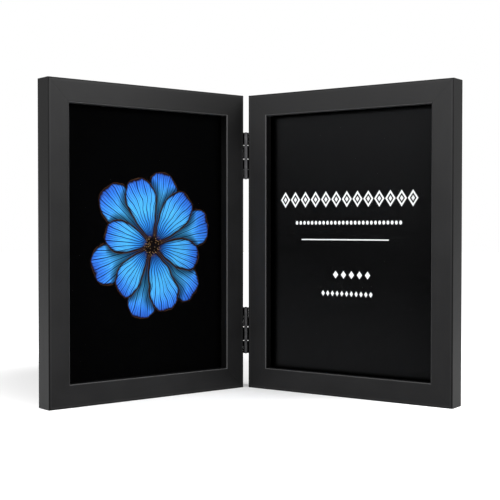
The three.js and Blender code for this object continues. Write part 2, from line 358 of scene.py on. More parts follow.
def mesh_object(name: str, mesh: BMesh) -> Object:
    """Makes an object of a drawn mesh.

    Args:
        name: The name of the object and its mesh.
        mesh: The drawn mesh, used up on the way.

    Returns:
        The object.
    """
    data = bpy.data.meshes.new(name)
    mesh.to_mesh(data)
    mesh.free()
    return placed(name, data)


def carved(solid: BMesh, cutters: Sequence[BMesh]) -> BMesh:
    """Cuts solids out of another one, and uses them all up.

    Args:
        solid: What is cut.
        cutters: What is cut out.

    Returns:
        The solid that is left.
    """
    blank = mesh_object("blank", solid)
    tools = [mesh_object("blank", cutter) for cutter in cutters]
    for tool in tools:
        cut = blank.modifiers.new("cut", "BOOLEAN")
        cut.operation = "DIFFERENCE"
        cut.solver = "EXACT"
        cut.object = tool
    shaped = blank.evaluated_get(bpy.context.evaluated_depsgraph_get())
    result = bmesh.new()
    result.from_mesh(shaped.to_mesh())
    shaped.to_mesh_clear()
    for item in (blank, *tools):
        data = item.data
        bpy.data.objects.remove(item)
        bpy.data.meshes.remove(data)
    bmesh.ops.dissolve_limit(
        result, angle_limit=FLAT_ANGLE, verts=result.verts, edges=result.edges)
    return closed(result)


# Finishes


def sign(operation: str, swapped: bool = False) -> Callable:
    """Makes the method of a value that stands for an arithmetic sign.

    Args:
        operation: The Math node's operation.
        swapped: Whether the value is its second input.

    Returns:
        The method.
    """
    def work_out(value: "Value", other: Feed) -> "Value":
        """Works out one number from a value and another feed."""
        pair = (other, value) if swapped else (value, other)
        return value.mix.maths(operation, *pair)

    return work_out


@dataclass(frozen=True, eq=False)
class Value:
    """What a material works out at a point: a number, a vector or a colour."""

    mix: "Recipe"
    socket: NodeSocket

    __add__ = __radd__ = sign("ADD")
    __mul__ = __rmul__ = sign("MULTIPLY")
    __sub__ = sign("SUBTRACT")
    __rsub__ = sign("SUBTRACT", swapped=True)
    __truediv__ = sign("DIVIDE")
    larger = sign("MAXIMUM")
    smaller = sign("MINIMUM")

    def __abs__(self) -> "Value":
        """The number without its sign."""
        return self.mix.maths("ABSOLUTE", self)

    def between(self, low: float, high: float) -> "Value":
        """Rises smoothly from 0 to 1 while the number goes from low to high."""
        return self.mix.value("MapRange", self, low, high, 0.0, 1.0,
                              interpolation_type="SMOOTHSTEP")

    def up_to(self, low: float, high: float) -> "Value":
        """Falls smoothly from 1 to 0 while the number goes from low to high."""
        return 1.0 - self.between(low, high)

    def spread(self, low: float, high: float) -> "Value":
        """Stretches the number from 0..1 to low..high."""
        return self.mix.value("MapRange", self, 0.0, 1.0, low, high)


class Recipe:
    """A material or world in the making, with short calls for the nodes that it takes."""

    def __init__(self, name: str, for_world: bool = False) -> None:
        """Starts with an output alone.

        Args:
            name: The name of the material or world.
            for_world: Whether it is a world.
        """
        self.made = (bpy.data.worlds if for_world else bpy.data.materials).new(name)
        self.made.use_nodes = True
        self.tree = self.made.node_tree
        self.tree.nodes.clear()
        self.output = self.node("OutputWorld" if for_world else "OutputMaterial")

    def feed(self, socket: NodeSocket, value: Feed) -> None:
        """Gives a socket its value.

        Args:
            socket: The socket.
            value: What is linked to it, or the plain value that it is set to.
        """
        if isinstance(value, Value):
            value = value.socket
        if isinstance(value, NodeSocket):
            self.tree.links.new(value, socket)
        elif isinstance(value, (int, float)) or len(value) == len(socket.default_value):
            socket.default_value = value
        else:
            socket.default_value = (*value, 1.0)

    def node(self, kind: str, *feeds: Feed, **settings: object) -> Node:
        """Adds a node.

        Args:
            kind: The node's type without its first words.
            *feeds: What its inputs get, in the order of those in use.
            **settings: Properties of the node.

        Returns:
            The node.
        """
        node = self.tree.nodes.new(f"ShaderNode{kind}")
        for name, value in settings.items():
            setattr(node, name, value)
        in_use = [socket for socket in node.inputs if socket.enabled]
        for socket, value in zip(in_use, feeds):
            self.feed(socket, value)
        return node

    def value(self, kind: str, *feeds: Feed, **settings: object) -> Value:
        """Adds a node in the same way and hands over its first output in use."""
        node = self.node(kind, *feeds, **settings)
        return Value(self, next(socket for socket in node.outputs if socket.enabled))

    def fed_by_name(self, kind: str, **feeds: Feed) -> Node:
        """Adds a node.

        Args:
            kind: The node's type without its first words.
            **feeds: What its inputs get, by their names with underscores for spaces.

        Returns:
            The node.
        """
        node = self.node(kind)
        for name, value in feeds.items():
            self.feed(node.inputs[name.replace("_", " ")], value)
        return node

    def maths(self, operation: str, *values: Feed, clamp: bool = False) -> Value:
        """Works out one number from up to three, and may keep it between 0 and 1."""
        return self.value("Math", *values, operation=operation, use_clamp=clamp)

    def length(self, x: Value, y: Value) -> Value:
        """The length of a flat vector."""
        return self.maths("SQRT", x * x + y * y)

    def blend(self, factor: Feed, first: Feed, second: Feed, mode: str = "MIX") -> Value:
        """Mixes two colours.

        Args:
            factor: 0 for the first colour, 1 for the second.
            first: A colour.
            second: A colour.
            mode: The blend type.

        Returns:
            The mixed colour.
        """
        return self.value("Mix", factor, first, second, data_type="RGBA", blend_type=mode)

    def ramp(self, value: Feed, stops: Sequence[tuple[float, Colour]]) -> Value:
        """Turns a number into a colour.

        Args:
            value: The number.
            stops: The positions from 0 to 1 at which the colours stand.

        Returns:
            The colour.
        """
        node = self.node("ValToRGB", value)
        elements = node.color_ramp.elements
        while len(elements) < len(stops):
            elements.new(1.0)
        for element, (position, colour) in zip(elements, stops):
            element.position = position
            element.color = (*colour, 1.0)
        return Value(self, node.outputs[0])

    def noise(self, place: Feed, scale: float, detail: float = 3.0,
              roughness: float = 0.5) -> Value:
        """Soft noise from 0 to 1.

        Args:
            place: Where it is read.
            scale: How fine it is.
            detail: How many finer layers it has.
            roughness: How strong these are.

        Returns:
            The noise.
        """
        return self.value("TexNoise", place, scale, detail, roughness)

    def cells(self, place: Feed, scale: float, feature: str) -> Value:
        """How far a point is from the middle of its cell, by the cells' fineness."""
        return self.value("TexVoronoi", place, scale, feature=feature)

    def parts(self, vector: Value) -> tuple[Value, ...]:
        """The three numbers of a vector."""
        return tuple(Value(self, part) for part in self.node("SeparateXYZ", vector).outputs)

    def vector(self, x: Feed, y: Feed, z: Feed) -> Value:
        """Joins three numbers into a vector."""
        return self.value("CombineXYZ", x, y, z)

    def stretched(self, vector: Feed, scale: Sequence[float]) -> Value:
        """Scales a vector along each axis."""
        return self.value("Mapping", vector, (0, 0, 0), (0, 0, 0), scale, vector_type="POINT")

    def row_place(self) -> Value:
        """Where a point is in the row frame, in millimetres."""
        return self.stretched(self.node("TexCoord").outputs["Object"], [1 / MM] * 3)

    def leaf_place(self, axes: LeafAxes, centre: Triple = (0, 0, 0)) -> Value:
        """Where a point is on a leaf.

        Args:
            axes: The leaf's axes.
            centre: The point of the leaf that counts as zero, in leaf millimetres.

        Returns:
            The place in leaf millimetres from that centre.
        """
        return self.value(
            "Mapping", self.node("TexCoord").outputs["Object"], axes.to_row @ Vector(centre),
            (0.0, 0.0, axes.turn), (MM, MM, MM), vector_type="TEXTURE")

    def ray(self, kind: str) -> Value:
        """1 for rays of a kind and 0 for the rest."""
        return Value(self, self.node("LightPath").outputs[f"Is {kind} Ray"])

    def seen(self) -> Value:
        """1 for rays that look at something and 0 for the rest."""
        return self.ray("Camera").larger(self.ray("Glossy")).larger(self.ray("Transmission"))

    def shader(self, **feeds: Feed) -> Node:
        """Adds the main shader."""
        return self.fed_by_name("BsdfPrincipled", **feeds)

    def print_shader(self, colour: Value, paper: Value, matt: Point, relief: Point) -> Node:
        """Adds the main shader for printed paper.

        Args:
            colour: The printed colour.
            paper: The unevenness of the paper, from 0 to 1.
            matt: Its roughness where that is 0 and where it is 1.
            relief: How much of the unevenness is felt, and how deep it is in millimetres.

        Returns:
            The shader.
        """
        return self.shader(Base_Color=colour, Roughness=paper.spread(*matt),
                           Specular_IOR_Level=0.0, Normal=self.bump(paper, *relief))

    def joined(self, kind: str, *parts: Value | Node) -> Node:
        """Joins shaders by the node of a kind, which may take a number first."""
        feeds = (part.outputs[0] if isinstance(part, Node) else part for part in parts)
        return self.node(kind, *feeds)

    def bump(self, height: Value, strength: float, depth: float) -> Value:
        """Turns a height into a normal.

        Args:
            height: The height, from 0 to 1.
            strength: How much of it shows.
            depth: What 1 stands for, in millimetres.

        Returns:
            The normal.
        """
        node = self.fed_by_name("Bump", Height=height, Strength=strength, Distance=depth * MM)
        return Value(self, node.outputs[0])

    def finish(self, shader: Node) -> Material | World:
        """Sends a shader to the output and hands over the material or world."""
        self.feed(self.output.inputs["Surface"], shader.outputs[0])
        return self.made


@dataclass(frozen=True)
class SatinPaint:
    """Near-black satin lacquer, sprayed on smooth wood whose grain barely tells.

    Painted highlights lie pale along the sight edges, beside the outer rims and under the top
    rail, and painted shade darkens the outer rims and the walls of the opening. The outer sides
    take painted shade at the top and painted light at the foot, and the upper corner at the
    hinges takes painted shading. Limits are in millimetres from the place they name.
    """

    dark: Colour = (0.0082, 0.0082, 0.0085)
    light: Colour = (0.0115, 0.0115, 0.0119)
    # painted shade at the top of the outer sides and painted light at their foot
    side_high: Colour = (0.0030, 0.0030, 0.0031)
    side_low: Colour = (0.0190, 0.0190, 0.0195)
    # painted shading at the upper corner by the hinges
    hinge_corner: Colour = (0.0030, 0.0030, 0.0031)
    # the painted highlight's pale colour and the painted shade's black
    rubbed: Colour = (0.075, 0.075, 0.076)
    deep: Colour = (0.0012, 0.0012, 0.0013)
    gloss: Point = (0.37, 0.47)
    shine: float = 0.08
    grain_stretch: float = 0.05
    grain: Triple = (1.6, 4.0, 0.6)
    cloud: Point = (0.035, 2.0)
    spray: Triple = (3.2, 2.0, 0.7)
    grain_share: float = 0.35
    tone_span: Point = (0.35, 0.65)
    relief: Point = (0.25, 0.02)
    # limits of where the painted highlights, painted shade and painted shading fall
    on_surface: Point = (0.05, 0.30)
    sight_band: Point = (0.30, 0.60)
    sight_depth: Point = (0.30, 0.65)
    wall_depth: Point = (0.6, 1.0)
    wall_share: float = 0.75
    underside: Point = (-1.0, -0.1)
    underside_wear: float = 0.40
    rim: Point = (0.68, 0.92)
    rim_wear: Point = (1.2, 2.0)
    rim_wear_share: float = 0.10
    side_depth: Point = (0.5, 0.9)
    side_change: Point = (-70.0, 60.0)
    corner_height: Point = (0.50, 1.00)

    def material(self, axes: LeafAxes, run: Run) -> Material:
        """Mixes the paint for the rails of a leaf that run one way.

        Args:
            axes: The leaf's axes.
            run: The way of the grain.

        Returns:
            The material.
        """
        mix = Recipe(f"{axes.side.label}_paint_{run.label}")
        place = mix.leaf_place(axes)
        stretch = [1.0, 1.0, 1.0]
        stretch[run.value] = self.grain_stretch
        grain = mix.noise(mix.stretched(place, stretch), *self.grain)
        cloud = mix.noise(place, *self.cloud)
        spray = mix.noise(place, *self.spray)
        tone = grain * self.grain_share + cloud * (1 - self.grain_share)
        colour = mix.blend(tone.between(*self.tone_span), self.dark, self.light)
        rubbed, deep, side, corner, up = self.zones(mix, axes)
        # painted shading at the upper corner by the hinges: darker on the left leaf, lighter on
        # the right
        colour = mix.blend(corner, colour, self.hinge_corner)
        # painted shade at the top of the outer sides, painted light at their foot
        painted_side_shading = mix.blend(up.between(*self.side_change), self.side_low, self.side_high)
        colour = mix.blend(side, colour, painted_side_shading)
        # painted highlights first, then painted shade on the rims and the walls of the opening
        colour = mix.blend(deep, mix.blend(rubbed, colour, self.rubbed), self.deep)
        return mix.finish(mix.shader(
            Base_Color=colour,
            Roughness=(spray * 0.5 + cloud * 0.5).spread(*self.gloss),
            Specular_IOR_Level=self.shine,
            Normal=mix.bump(spray * 0.6 + grain * 0.4, *self.relief),
        ))

    def zones(self, mix: Recipe, axes: LeafAxes) -> tuple[Value, ...]:
        """Finds where painted highlights and painted shade go, the sides and a corner.

        Args:
            mix: The paint's material.
            axes: The leaf's axes.

        Returns:
            How much takes a painted highlight and how much painted shade, how much is an outer
            side and how near the upper corner at the hinges, each from 0 to 1, and the
            millimetres up from the leaf's middle.
        """
        middle = (axes.side.value * LEAF.centre_x, LEAF.face, LEAF.centre_z)
        across, back, up = mix.parts(mix.leaf_place(axes, middle))
        half_width = LEAF.width / 2 - LEAF.rail_width
        half_height = LEAF.height / 2 - LEAF.rail_width
        from_sight = (abs(across) - half_width).larger(abs(up) - half_height)
        from_outside = LEAF.rail_width - from_sight
        at_face = back.up_to(*self.rim)
        at_back = (LEAF.depth - back).up_to(*self.rim)
        on_wall = from_sight.up_to(*self.on_surface)
        low, high = (half_height + limit for limit in self.underside)
        under_rail = on_wall * up.between(low, high)
        beside_rim = from_outside.up_to(*self.rim_wear) * at_face
        # painted highlight: pale lines along the sight edges, beside the outer rims and under
        # the top rail
        sight = from_sight.up_to(*self.sight_band) * back.up_to(*self.sight_depth)
        rubbed = sight.larger(beside_rim * self.rim_wear_share)
        rubbed = rubbed.larger(under_rail * self.underside_wear)
        # painted shade: dark lines along the outer rims and dark walls of the opening
        rim = from_outside.up_to(*self.rim) * at_face.larger(at_back)
        wall = (on_wall - under_rail) * back.between(*self.wall_depth) * self.wall_share
        side = from_outside.up_to(*self.on_surface) * back.between(*self.side_depth)
        # where the painted shading of the upper hinge corner falls
        to_hinges = across * float(-axes.side.value)
        low, high = (half_height * share for share in self.corner_height)
        corner = to_hinges.between(-half_width, half_width) * up.between(low, high)
        return rubbed, rim.larger(wall), side, corner, up


@dataclass(frozen=True)
class BlackSteel:
    """Steel with a glossy black plating, rubbed a little on its high spots."""

    plating: Colour = (0.022, 0.022, 0.023)
    rubbed: Colour = (0.034, 0.034, 0.035)
    gloss: Point = (0.03, 0.08)
    worn: Point = (0.45, 0.75)
    smear: Triple = (0.35, 3.0, 0.6)
    fine: Point = (6.0, 2.0)
    relief: Point = (0.15, 0.01)

    def material(self) -> Material:
        """Mixes the finish of the hinges.

        Returns:
            The material.
        """
        mix = Recipe("black_plated_steel")
        place = mix.row_place()
        smear = mix.noise(place, *self.smear)
        return mix.finish(mix.shader(
            Base_Color=mix.blend(smear.between(*self.worn), self.plating, self.rubbed),
            Metallic=1.0,
            Roughness=smear.spread(*self.gloss),
            Normal=mix.bump(mix.noise(place, *self.fine), *self.relief),
        ))


@dataclass(frozen=True)
class ZincSteel:
    """Bright zinc-plated steel with faint crystal patches and fine scratches."""

    bright: Colour = (0.50, 0.51, 0.53)
    dull: Colour = (0.34, 0.35, 0.37)
    gloss: Point = (0.24, 0.42)
    tone_span: Point = (0.25, 0.75)
    patch_scale: float = 1.1
    smear: Triple = (0.5, 4.0, 0.6)
    scratch_stretch: Triple = (1.0, 1.0, 14.0)
    scratch: Point = (1.2, 2.0)
    relief: Point = (0.2, 0.01)

    def material(self) -> Material:
        """Mixes the finish of the fittings on the back.

        Returns:
            The material.
        """
        mix = Recipe("zinc_plated_steel")
        place = mix.row_place()
        patches = mix.cells(place, self.patch_scale, "SMOOTH_F1")
        smear = mix.noise(place, *self.smear)
        scratch = mix.noise(mix.stretched(place, self.scratch_stretch), *self.scratch)
        tone = patches * 0.5 + smear * 0.5
        return mix.finish(mix.shader(
            Base_Color=mix.blend(tone.between(*self.tone_span), self.bright, self.dull),
            Metallic=1.0,
            Roughness=smear.spread(*self.gloss),
            Normal=mix.bump(scratch, *self.relief),
        ))


@dataclass(frozen=True)
class FibreBoard:
    """Dark pressed fibre board, smooth and a little mottled, with short fibres in it."""

    dark: Colour = (0.020, 0.016, 0.013)
    brown: Colour = (0.052, 0.040, 0.030)
    fleck: Colour = (0.120, 0.090, 0.062)
    wander: Point = (0.12, 3.0)
    fibre_stretch: Triple = (1.0, 1.0, 0.35)
    fibres: Triple = (2.4, 5.0, 0.75)
    fleck_stretch: Triple = (0.4, 1.0, 1.6)
    flecks: Triple = (1.7, 4.0, 0.8)
    fleck_span: Point = (0.66, 0.74)
    fleck_share: float = 0.6
    fibre_share: float = 0.7
    shine: float = 0.3
    matt: Point = (0.62, 0.85)
    relief: Point = (0.5, 0.05)

    def material(self, axes: LeafAxes) -> Material:
        """Mixes the finish of a backing board.

        Args:
            axes: The leaf's axes.

        Returns:
            The material.
        """
        mix = Recipe(f"{axes.side.label}_fibre_board")
        place = mix.leaf_place(axes)
        fibres = mix.noise(mix.stretched(place, self.fibre_stretch), *self.fibres)
        flecks = mix.noise(mix.stretched(place, self.fleck_stretch), *self.flecks)
        wander = mix.noise(place, *self.wander)
        mottle = fibres * self.fibre_share + wander * (1 - self.fibre_share)
        colour = mix.blend(flecks.between(*self.fleck_span) * self.fleck_share,
                           mix.blend(mottle, self.dark, self.brown), self.fleck)
        return mix.finish(mix.shader(
            Base_Color=colour,
            Roughness=fibres.spread(*self.matt),
            Specular_IOR_Level=self.shine,
            Normal=mix.bump(fibres, *self.relief),
        ))


@dataclass(frozen=True)
class PictureGlass:
    """Clear coated picture glass that hardly mirrors and lets the lamps through."""

    tint: Colour = (0.985, 0.992, 0.990)
    faint_tint: Colour = (0.978, 0.985, 0.984)
    clouds: Point = (0.02, 2.0)
    coating: Colour = (0.02, 0.02, 0.02)
    shine: float = 0.05
    bending: float = 1.015

    def material(self) -> Material:
        """Mixes the glass, which is plain clear for rays that only carry light.

        Returns:
            The material.
        """
        mix = Recipe("picture_glass")
        clouds = mix.noise(mix.row_place(), *self.clouds)
        tint = mix.blend(clouds, self.tint, self.faint_tint)
        glass = mix.shader(
            Base_Color=tint,
            Roughness=0.0,
            IOR=self.bending,
            Specular_IOR_Level=self.shine,
            Specular_Tint=self.coating,
            Transmission_Weight=1.0,
        )
        carries_light = mix.ray("Shadow").larger(mix.ray("Diffuse"))
        clear = mix.node("BsdfTransparent", tint)
        return mix.finish(mix.joined("MixShader", carries_light, glass, clear))


@dataclass(frozen=True)
class Petals:
    """One ring of petals in the printed bloom, in millimetres and turns."""

    reach: float
    turn: float
    unrest: float
    seed: float


@dataclass(frozen=True)
class Petal:
    """What the print knows of a point and of the petal under it."""

    far: Value
    inside: Value
    along: Value
    off_middle: Value
    number: Value


@dataclass(frozen=True)
class BloomPrint:
    """A glossy print of a blue bloom on black: two rings of veined petals with dark rims.

    Lengths are in millimetres, and spans say between which values a part comes in or fades.
    """

    centre: Triple = (-71.85, 9.6, 99.5)
    petals: int = 6
    back_ring: Petals = Petals(54.0, 0.21, 0.10, 3.7)
    front_ring: Petals = Petals(46.5, 0.71, 0.12, 11.2)
    petal_power: float = 2.3
    sway: float = 9.0
    swaying: Point = (0.045, 2.0)
    breadth: float = 1.06
    ruffle: float = 0.10
    ruffles: Point = (6.0, 3.0)
    ruffle_drift: float = 0.02
    tip_round: float = 2.0
    shade: Point = (-9.0, 0.5)
    shade_share: float = 0.85
    edge: Point = (0.0, 0.5)
    rim_span: Point = (0.7, 1.6)
    inner_rim_span: Point = (0.0, 0.9)
    rim_ragged: Point = (2.6, 0.4)
    lane_stretch: Point = (14.0, 1.5)
    streaking: Triple = (2.6, 4.0, 0.65)
    vein_lanes: Point = (9.0, 0.34)
    fine_vein_lanes: Point = (27.0, 0.22)
    fine_vein_share: float = 0.7
    vein_bend: Point = (1.25, 0.35)
    vein_edge: Point = (0.3, 1.4)
    heart: float = 4.6
    heart_wobble: float = 2.0
    heart_lobes: Point = (4.0, 3.0)
    heart_edge: Point = (-1.0, 1.6)
    dust_scale: float = 0.85
    dust_size: Point = (0.16, 0.42)
    collar_inner: Point = (1.2, 3.2)
    collar_outer: Point = (5.2, 8.6)
    paper: Point = (0.9, 3.0)
    matt: Point = (0.42, 0.50)
    relief: Point = (0.1, 0.01)
    ground: Colour = (0.0011, 0.0011, 0.0012)
    vein: Colour = (0.003, 0.006, 0.045)
    rim: Colour = (0.085, 0.040, 0.022)
    inner_rim: Colour = (0.012, 0.006, 0.005)
    pit: Colour = (0.004, 0.003, 0.004)
    dust: Colour = (0.26, 0.150, 0.060)
    blues: tuple[tuple[float, Colour], ...] = (
        (0.00, (0.004, 0.004, 0.012)),
        (0.14, (0.010, 0.040, 0.200)),
        (0.30, (0.030, 0.260, 0.800)),
        (0.52, (0.080, 0.480, 0.950)),
        (0.70, (0.075, 0.430, 0.940)),
        (0.86, (0.040, 0.220, 0.800)),
        (1.00, (0.025, 0.080, 0.520)),
    )
    streaks: tuple[tuple[float, Colour], ...] = (
        (0.25, (0.60, 0.62, 0.70)),
        (0.55, (1.0, 1.0, 1.0)),
        (0.75, (1.6, 1.35, 1.1)),
    )

    def material(self, axes: LeafAxes) -> Material:
        """Mixes the print.

        Args:
            axes: The axes of the leaf that it hangs in.

        Returns:
            The material.
        """
        mix = Recipe("bloom_print")
        place = mix.leaf_place(axes, self.centre)
        across, _, up = mix.parts(place)
        sway = (mix.noise(place, *self.swaying) - 0.5) * self.sway
        across = (sway + across) * self.breadth
        far = mix.length(across, up)
        angle = mix.maths("ARCTAN2", up, across)
        back, front = (self.petal(far, angle, ring)
                       for ring in (self.back_ring, self.front_ring))
        shade = front.inside.between(*self.shade) * self.shade_share
        colour = mix.blend(back.inside.between(*self.edge), self.ground,
                           mix.blend(shade, self.petal_colour(back), self.ground))
        colour = mix.blend(front.inside.between(*self.edge), colour, self.petal_colour(front))
        seed, lobes = self.heart_lobes
        heart = mix.noise(mix.vector(angle, 0.0, seed), lobes) * self.heart_wobble + self.heart
        colour = mix.blend((far - heart).up_to(*self.heart_edge), colour, self.pit)
        dust = mix.cells(place, self.dust_scale, "F1").up_to(*self.dust_size)
        collar = far.between(*self.collar_inner) * far.up_to(*self.collar_outer)
        paper = mix.noise(place, *self.paper)
        colour = mix.blend(dust * collar, colour, self.dust)
        return mix.finish(mix.print_shader(colour, paper, self.matt, self.relief))

    def petal(self, far: Value, angle: Value, ring: Petals) -> Petal:
        """Finds the petal of a ring under a point.

        Args:
            far: Millimetres from the bloom's centre.
            angle: The direction from there, in radians.
            ring: The ring of petals.

        Returns:
            The petal under the point.
        """
        mix = far.mix
        turns = angle * (self.petals / FULL_TURN) + (ring.turn + self.petals)
        number = mix.maths("FLOOR", turns)
        own = mix.value("TexWhiteNoise", mix.maths("MODULO", number, float(self.petals))
                        + ring.seed, noise_dimensions="1D")
        reach = own.spread(ring.reach * (1 - ring.unrest), ring.reach)
        off_middle = mix.maths("FRACT", turns) - 0.5
        ruffle = mix.noise(mix.vector(angle, far * self.ruffle_drift, ring.seed),
                           *self.ruffles)
        along = far / (reach * ((ruffle - 0.5) * self.ruffle + 1.0))
        room = mix.maths("SUBTRACT", 1.0, along * along, clamp=True)
        half_width = mix.maths("POWER", room, 1 / self.petal_power) * 0.5
        beside = far * (FULL_TURN / self.petals) * (half_width - abs(off_middle))
        to_tip = (1.0 - along) * ring.reach
        inside = mix.maths("SMOOTH_MIN", beside, to_tip, self.tip_round)
        return Petal(far, inside, along, off_middle, number)

    def petal_colour(self, petal: Petal) -> Value:
        """Colours a petal: blue that deepens to its rim, streaks, veins and a brown rim.

        Args:
            petal: The petal.

        Returns:
            The colour.
        """
        mix = petal.far.mix
        sideways, lengthways = self.lane_stretch
        lane = mix.vector(petal.off_middle * sideways, petal.along * lengthways, petal.number)
        streak = mix.noise(lane, *self.streaking)
        blue = mix.blend(1.0, mix.ramp(petal.along, self.blues),
                         mix.ramp(streak, self.streaks), mode="MULTIPLY")
        finer = self.veins(petal, *self.fine_vein_lanes) * (petal.along * self.fine_vein_share)
        veins = self.veins(petal, *self.vein_lanes).larger(finer)
        blue = mix.blend(veins, blue, self.vein)
        brown = mix.blend(petal.inside.between(*self.inner_rim_span), self.rim, self.inner_rim)
        most, least = self.rim_ragged
        ragged = petal.inside / (streak * most + least)
        return mix.blend(ragged.between(*self.rim_span), brown, blue)

    def veins(self, petal: Petal, lanes: float, width: float) -> Value:
        """Thin lines that run out along a petal.

        Args:
            petal: The petal.
            lanes: How many lanes the lines divide a petal into.
            width: Their half width in millimetres.

        Returns:
            1 on the lines and 0 beside them.
        """
        start, bend = self.vein_bend
        bent = petal.off_middle * (start - petal.along * bend)
        lane = petal.far.mix.maths("FRACT", bent * lanes + (0.5 + lanes))
        beside = abs(lane - 0.5) * (petal.far * (FULL_TURN / self.petals / lanes))
        return beside.up_to(*(width * share for share in self.vein_edge))


@dataclass(frozen=True)
class Marks:
    """A row of equal lozenges or dots on the card, in millimetres from its centre."""

    x: float
    z: float
    half_width: float
    half_height: float
    pitch: float
    steps_each_way: int
    round: bool = False
    hollow: bool = False
    edge: Point = (0.95, 1.05)
    ring: Point = (0.60, 0.68)
    middle: Point = (0.30, 0.38)

    def ink(self, across: Value, up: Value) -> Value:
        """Draws the row.

        Args:
            across: Millimetres across from the card's centre.
            up: Millimetres up from there.

        Returns:
            1 on the marks and 0 beside them.
        """
        offset, last = across - self.x, float(self.steps_each_way)
        step = across.mix.maths("ROUND", offset / self.pitch).smaller(last).larger(-last)
        sideways = abs(offset - step * self.pitch) / self.half_width
        upwards = abs(up - self.z) / self.half_height
        reach = across.mix.length(sideways, upwards) if self.round else sideways + upwards
        solid = reach.up_to(*self.edge)
        if not self.hollow:
            return solid
        return (solid * reach.between(*self.ring)).larger(reach.up_to(*self.middle))


@dataclass(frozen=True)
class CardPrint:
    """A black card with plain ornaments in white: rows of lozenges and dots, and a rule.

    A painted sheen makes the black paler towards the top and the foot, away from a darker band
    across the middle, and a painted lip shadow blackens it along the hinge side and under the
    top and bottom rails.
    """

    centre: Triple = (77.15, 9.6, 101.4)
    ground: Colour = (0.0039, 0.0039, 0.0041)
    # the painted sheen's paler black, then the painted lip shadow's black, the sheen's shape and
    # where the lip shadow falls
    pale_ground: Colour = (0.0110, 0.0110, 0.0115)
    rim: Colour = (0.0, 0.0, 0.0)
    tilt: float = 0.15
    lift: float = 10.0
    pale_from: float = 100.0
    pale_power: float = 1.3
    hinge_rim: Point = (-60.2, -54.5)
    rail_rim: Point = (83.5, 87.2)
    ink: Colour = (0.86, 0.86, 0.86)
    thin_ink: float = 0.96
    ink_span: Point = (0.3, 0.7)
    paper: Triple = (0.8, 4.0, 0.6)
    paper_share: float = 0.15
    matt: Point = (0.50, 0.60)
    relief: Point = (0.1, 0.01)
    rows: tuple[Marks, ...] = (
        Marks(-2.5, 28.9, 3.7, 5.4, 8.0, 6, hollow=True),
        Marks(-2.2, 13.2, 1.0, 1.3, 3.0, 13, round=True),
        Marks(1.1, -21.4, 2.0, 2.6, 6.0, 2),
        Marks(-2.5, -34.0, 1.3, 1.9, 3.6, 5),
    )
    rule_place: Point = (-4.5, 1.9)
    rule_half_size: Point = (33.0, 0.38)
    rule_edge: Point = (-0.1, 0.1)

    def material(self, axes: LeafAxes) -> Material:
        """Mixes the card.

        Args:
            axes: The axes of the leaf that it hangs in.

        Returns:
            The material.
        """
        mix = Recipe("ornament_card")
        place = mix.leaf_place(axes, self.centre)
        across, _, up = mix.parts(place)
        past_end, past_side = (abs(way - middle) - half for way, middle, half in
                               zip((across, up), self.rule_place, self.rule_half_size))
        inked = past_end.larger(past_side).up_to(*self.rule_edge)
        for row in self.rows:
            inked = inked.larger(row.ink(across, up))
        paper = mix.noise(place, *self.paper)
        # painted sheen: the black grows paler away from a tilted band across the middle, with
        # the paper's own unevenness added
        off_middle = abs(across * self.tilt + (up + self.lift))
        painted_sheen_and_paper = mix.maths("POWER", off_middle / self.pale_from, self.pale_power, clamp=True)
        painted_sheen_and_paper = (paper - 0.5) * self.paper_share + painted_sheen_and_paper
        ground = mix.blend(painted_sheen_and_paper, self.ground, self.pale_ground)
        # painted lip shadow: black along the hinge side and under the top and bottom rails
        inside = across.between(*self.hinge_rim) * abs(up).up_to(*self.rail_rim)
        ground = mix.blend(inside, self.rim, ground)
        ink = mix.blend(paper.between(*self.ink_span), self.ink,
                        [self.thin_ink * part for part in self.ink])
        colour = mix.blend(inked, ground, ink)
        return mix.finish(mix.print_shader(colour, paper, self.matt, self.relief))


# Pieces


@dataclass(frozen=True)
class Piece:
    """A mesh drawn for the right leaf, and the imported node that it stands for.

    Its body is the leaf's frame unless another one is named.
    """

    node: str
    mesh: BMesh
    axes: LeafAxes
    material: Material
    slot: str
    body: str = ""

    def put(self) -> None:
        """Makes the piece's object in the row frame and ties it to its body."""
        mesh, place = closed(self.mesh), self.axes.mirrored_to_row
        open_edges = sum(not edge.is_manifold for edge in mesh.edges)
        bmesh.ops.transform(mesh, matrix=place, verts=mesh.verts)
        if place.determinant() < 0:
            bmesh.ops.reverse_faces(mesh, faces=mesh.faces)
        for face in mesh.faces:
            face.smooth = True
        for edge in mesh.edges:
            edge.smooth = edge.calc_face_angle(0.0) < SHARP_ANGLE
        dressed = mesh_object(f"{self.node}_dressed", mesh)
        dressed.data.materials.append(self.material)
        dressed.modifiers.new("shading", "WEIGHTED_NORMAL").keep_sharp = True
        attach(dressed, self.body or self.axes.body)
        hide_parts(self.node)
        log.info("%s: %d faces, %d open edges", dressed.name, len(dressed.data.polygons),
                 open_edges)


